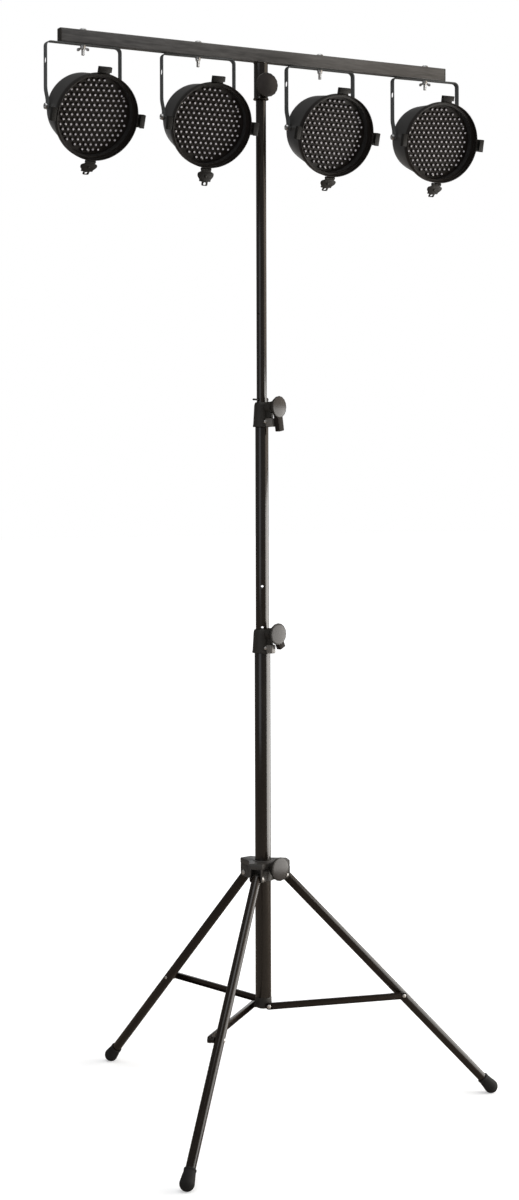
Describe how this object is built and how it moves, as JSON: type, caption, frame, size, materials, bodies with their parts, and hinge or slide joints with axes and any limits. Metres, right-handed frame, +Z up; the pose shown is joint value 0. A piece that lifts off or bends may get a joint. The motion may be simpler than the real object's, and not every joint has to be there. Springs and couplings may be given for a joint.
{
  "type": "lighting t bar stand",
  "caption": "Folding tripod with a telescopic mast and a cross bar that carries round stage lamps on tilting yokes.",
  "frame": {"origin": "on the floor, in the middle of the stand's outline seen from above; the mast stands behind it on -Y", "axes": "+Z up along the mast, X along the cross bar, the lamps face -Y"},
  "size_m": [1.1266, 0.9766, 2.4918],
  "materials": {
    "black_coat": "satin black powder coat",
    "bar_coat": "satin black powder coat",
    "black_plastic": "moulded nylon, fine grain",
    "knob_plastic": "moulded nylon, fine grain",
    "zinc_steel": "bright zinc plating",
    "boot_rubber": "matt moulded rubber",
    "led_lens": "clear epoxy lenses on a dark board",
    "circuit_board": "solder mask"
  },
  "bodies": {
    "stand_mast": {"mast_lower_tube": "black_coat", "mast_base_cap": "black_plastic", "lower_collar": "black_plastic"},
    "tripod_hub": {"leg_hub": "black_coat", "leg_pin_1": "zinc_steel", "leg_pin_2": "zinc_steel", "leg_pin_3": "zinc_steel"},
    "hub_clamp": {"hub_knob": "knob_plastic"},
    "lower_clamp": {"lower_collar_knob": "knob_plastic"},
    "mast_middle": {"mast_middle_tube": "black_coat", "upper_collar": "black_plastic"},
    "upper_clamp": {"upper_collar_knob": "knob_plastic"},
    "mast_top": {"mast_top_tube": "black_coat"},
    "lock_pin": {"safety_pin": "black_plastic"},
    "cross_bar": {"t_bar": "bar_coat", "bar_end_cap_left": "black_plastic", "bar_end_cap_right": "black_plastic", "t_sleeve": "black_coat", "lamp_1_hanging_bolt": "zinc_steel", "lamp_2_hanging_bolt": "zinc_steel", "lamp_3_hanging_bolt": "zinc_steel", "lamp_4_hanging_bolt": "zinc_steel"},
    "sleeve_clamp": {"sleeve_knob": "knob_plastic"},
    "tripod_leg_1": {"leg_1": "black_coat", "foot_boot_1": "boot_rubber"},
    "tripod_strut_1": {"strut_1": "black_coat"},
    "tripod_leg_2": {"leg_2": "black_coat", "foot_boot_2": "boot_rubber"},
    "tripod_strut_2": {"strut_2": "black_coat"},
    "tripod_leg_3": {"leg_3": "black_coat", "foot_boot_3": "boot_rubber"},
    "tripod_strut_3": {"strut_3": "black_coat"},
    "lamp_1_bracket": {"lamp_1_yoke": "black_coat"},
    "lamp_1_clamp": {"lamp_1_wing_nut": "zinc_steel"},
    "lamp_1_head": {"lamp_1_can": "black_coat", "lamp_1_front_ring": "black_coat", "lamp_1_led_board": "led_lens", "lamp_1_power_supply": "circuit_board"},
    "lamp_1_latch": {"lamp_1_filter_latch": "black_coat"},
    "lamp_2_bracket": {"lamp_2_yoke": "black_coat"},
    "lamp_2_clamp": {"lamp_2_wing_nut": "zinc_steel"},
    "lamp_2_head": {"lamp_2_can": "black_coat", "lamp_2_front_ring": "black_coat", "lamp_2_led_board": "led_lens", "lamp_2_power_supply": "circuit_board"},
    "lamp_2_latch": {"lamp_2_filter_latch": "black_coat"},
    "lamp_3_bracket": {"lamp_3_yoke": "black_coat"},
    "lamp_3_clamp": {"lamp_3_wing_nut": "zinc_steel"},
    "lamp_3_head": {"lamp_3_can": "black_coat", "lamp_3_front_ring": "black_coat", "lamp_3_led_board": "led_lens", "lamp_3_power_supply": "circuit_board"},
    "lamp_3_latch": {"lamp_3_filter_latch": "black_coat"},
    "lamp_4_bracket": {"lamp_4_yoke": "black_coat"},
    "lamp_4_clamp": {"lamp_4_wing_nut": "zinc_steel"},
    "lamp_4_head": {"lamp_4_can": "black_coat", "lamp_4_front_ring": "black_coat", "lamp_4_led_board": "led_lens", "lamp_4_power_supply": "circuit_board"},
    "lamp_4_latch": {"lamp_4_filter_latch": "black_coat"}
  },
  "joints": [
    {"name": "hub_slide", "type": "slide", "parent": "stand_mast", "child": "tripod_hub", "axis": [0, 0, 1], "range_m": [0, 0.4365]},
    {"name": "hub_knob_turn", "type": "hinge", "parent": "tripod_hub", "child": "hub_clamp", "pos_m": [-0.00029, -0.07029, 0.569], "axis": [0.2756, -0.9613, 0], "range_deg": [0, 180]},
    {"name": "lower_knob_turn", "type": "hinge", "parent": "stand_mast", "child": "lower_clamp", "pos_m": [-0.00029, -0.07029, 1.119], "axis": [0.2924, -0.9563, 0], "range_deg": [0, 180]},
    {"name": "middle_tube_slide", "type": "slide", "parent": "stand_mast", "child": "mast_middle", "axis": [0, 0, 1], "range_m": [-0.44, 0]},
    {"name": "upper_knob_turn", "type": "hinge", "parent": "mast_middle", "child": "upper_clamp", "pos_m": [-0.00029, -0.07029, 1.648], "axis": [0.3907, -0.9205, 0], "range_deg": [0, 180]},
    {"name": "top_tube_slide", "type": "slide", "parent": "mast_middle", "child": "mast_top", "axis": [0, 0, 1], "range_m": [0, 0.25]},
    {"name": "safety_pin_pull", "type": "slide", "parent": "mast_top", "child": "lock_pin", "axis": [0.9205, 0.3907, 0], "range_m": [0, 0.05]},
    {"name": "t_bar_swivel", "type": "hinge", "parent": "mast_top", "child": "cross_bar", "pos_m": [-0.00029, -0.07029, 0], "axis": [0, 0, 1], "continuous": true},
    {"name": "sleeve_knob_turn", "type": "hinge", "parent": "cross_bar", "child": "sleeve_clamp", "pos_m": [-0.00029, -0.07029, 2.3997], "axis": [0, -1, 0], "range_deg": [0, 180]},
    {"name": "leg_1_fold", "type": "hinge", "parent": "tripod_hub", "child": "tripod_leg_1", "pos_m": [0.05005, -0.08331, 0.553], "axis": [0.2504, 0.9681, 0], "range_deg": [0, 43.6]},
    {"name": "strut_1_fold", "type": "hinge", "parent": "stand_mast", "child": "tripod_strut_1", "pos_m": [0.00649, -0.07204, 0.249], "axis": [-0.2504, -0.9681, 0], "range_deg": [0, 81.5]},
    {"name": "leg_2_fold", "type": "hinge", "parent": "tripod_hub", "child": "tripod_leg_2", "pos_m": [-0.01419, -0.02018, 0.553], "axis": [-0.9636, -0.2672, 0], "range_deg": [0, 43.6]},
    {"name": "strut_2_fold", "type": "hinge", "parent": "stand_mast", "child": "tripod_strut_2", "pos_m": [-0.00216, -0.06354, 0.249], "axis": [0.9636, 0.2672, 0], "range_deg": [0, 81.5]},
    {"name": "leg_3_fold", "type": "hinge", "parent": "tripod_hub", "child": "tripod_leg_3", "pos_m": [-0.03674, -0.10737, 0.553], "axis": [0.7133, -0.7009, 0], "range_deg": [0, 43.6]},
    {"name": "strut_3_fold", "type": "hinge", "parent": "stand_mast", "child": "tripod_strut_3", "pos_m": [-0.0052, -0.07528, 0.249], "axis": [-0.7133, 0.7009, 0], "range_deg": [0, 81.5]},
    {"name": "lamp_1_pan", "type": "hinge", "parent": "cross_bar", "child": "lamp_1_bracket", "pos_m": [-0.45158, -0.07029, 2.456], "axis": [0, 0, 1], "range_deg": [-90, 90]},
    {"name": "lamp_1_wing_nut_turn", "type": "hinge", "parent": "cross_bar", "child": "lamp_1_clamp", "pos_m": [-0.45158, -0.07029, 2.456], "axis": [0, 0, -1], "range_deg": [0, 180]},
    {"name": "lamp_1_tilt", "type": "hinge", "parent": "lamp_1_bracket", "child": "lamp_1_head", "pos_m": [-0.45158, -0.07029, 2.31], "axis": [0.9999, 0.0105, 0], "range_deg": [-20, 70]},
    {"name": "lamp_1_latch_swing", "type": "hinge", "parent": "lamp_1_head", "child": "lamp_1_latch", "pos_m": [-0.45117, -0.10959, 2.18735], "axis": [-0.9999, -0.0105, 0], "range_deg": [-10, 90]},
    {"name": "lamp_2_pan", "type": "hinge", "parent": "cross_bar", "child": "lamp_2_bracket", "pos_m": [-0.1644, -0.07029, 2.456], "axis": [0, 0, 1], "range_deg": [-90, 90]},
    {"name": "lamp_2_wing_nut_turn", "type": "hinge", "parent": "cross_bar", "child": "lamp_2_clamp", "pos_m": [-0.1644, -0.07029, 2.456], "axis": [0, 0, -1], "range_deg": [0, 180]},
    {"name": "lamp_2_tilt", "type": "hinge", "parent": "lamp_2_bracket", "child": "lamp_2_head", "pos_m": [-0.1644, -0.07029, 2.31], "axis": [0.9987, -0.0506, 0], "range_deg": [-20, 70]},
    {"name": "lamp_2_latch_swing", "type": "hinge", "parent": "lamp_2_head", "child": "lamp_2_latch", "pos_m": [-0.16665, -0.11485, 2.18918], "axis": [-0.9987, 0.0506, 0], "range_deg": [-10, 90]},
    {"name": "lamp_3_pan", "type": "hinge", "parent": "cross_bar", "child": "lamp_3_bracket", "pos_m": [0.15875, -0.07029, 2.456], "axis": [0, 0, 1], "range_deg": [-90, 90]},
    {"name": "lamp_3_wing_nut_turn", "type": "hinge", "parent": "cross_bar", "child": "lamp_3_clamp", "pos_m": [0.15875, -0.07029, 2.456], "axis": [0, 0, -1], "range_deg": [0, 180]},
    {"name": "lamp_3_tilt", "type": "hinge", "parent": "lamp_3_bracket", "child": "lamp_3_head", "pos_m": [0.15875, -0.07029, 2.31], "axis": [1, 0, 0], "range_deg": [-20, 70]},
    {"name": "lamp_3_latch_swing", "type": "hinge", "parent": "lamp_3_head", "child": "lamp_3_latch", "pos_m": [0.15875, -0.11701, 2.18998], "axis": [-1, 0, 0], "range_deg": [-10, 90]},
    {"name": "lamp_4_pan", "type": "hinge", "parent": "cross_bar", "child": "lamp_4_bracket", "pos_m": [0.45455, -0.07029, 2.456], "axis": [0, 0, 1], "range_deg": [-90, 90]},
    {"name": "lamp_4_wing_nut_turn", "type": "hinge", "parent": "cross_bar", "child": "lamp_4_clamp", "pos_m": [0.45455, -0.07029, 2.456], "axis": [0, 0, -1], "range_deg": [0, 180]},
    {"name": "lamp_4_tilt", "type": "hinge", "parent": "lamp_4_bracket", "child": "lamp_4_head", "pos_m": [0.45455, -0.07029, 2.31], "axis": [0.9989, -0.0471, 0], "range_deg": [-20, 70]},
    {"name": "lamp_4_latch_swing", "type": "hinge", "parent": "lamp_4_head", "child": "lamp_4_latch", "pos_m": [0.45201, -0.12419, 2.19305], "axis": [-0.9989, 0.0471, 0], "range_deg": [-10, 90]}
  ],
  "couplings": [
    {"joint": "leg_1_fold", "follows": "hub_slide", "rad_per_m": 1.7418},
    {"joint": "strut_1_fold", "follows": "hub_slide", "rad_per_m": 3.2552},
    {"joint": "leg_2_fold", "follows": "hub_slide", "rad_per_m": 1.7418},
    {"joint": "strut_2_fold", "follows": "hub_slide", "rad_per_m": 3.2552},
    {"joint": "leg_3_fold", "follows": "hub_slide", "rad_per_m": 1.7418},
    {"joint": "strut_3_fold", "follows": "hub_slide", "rad_per_m": 3.2552}
  ]
}
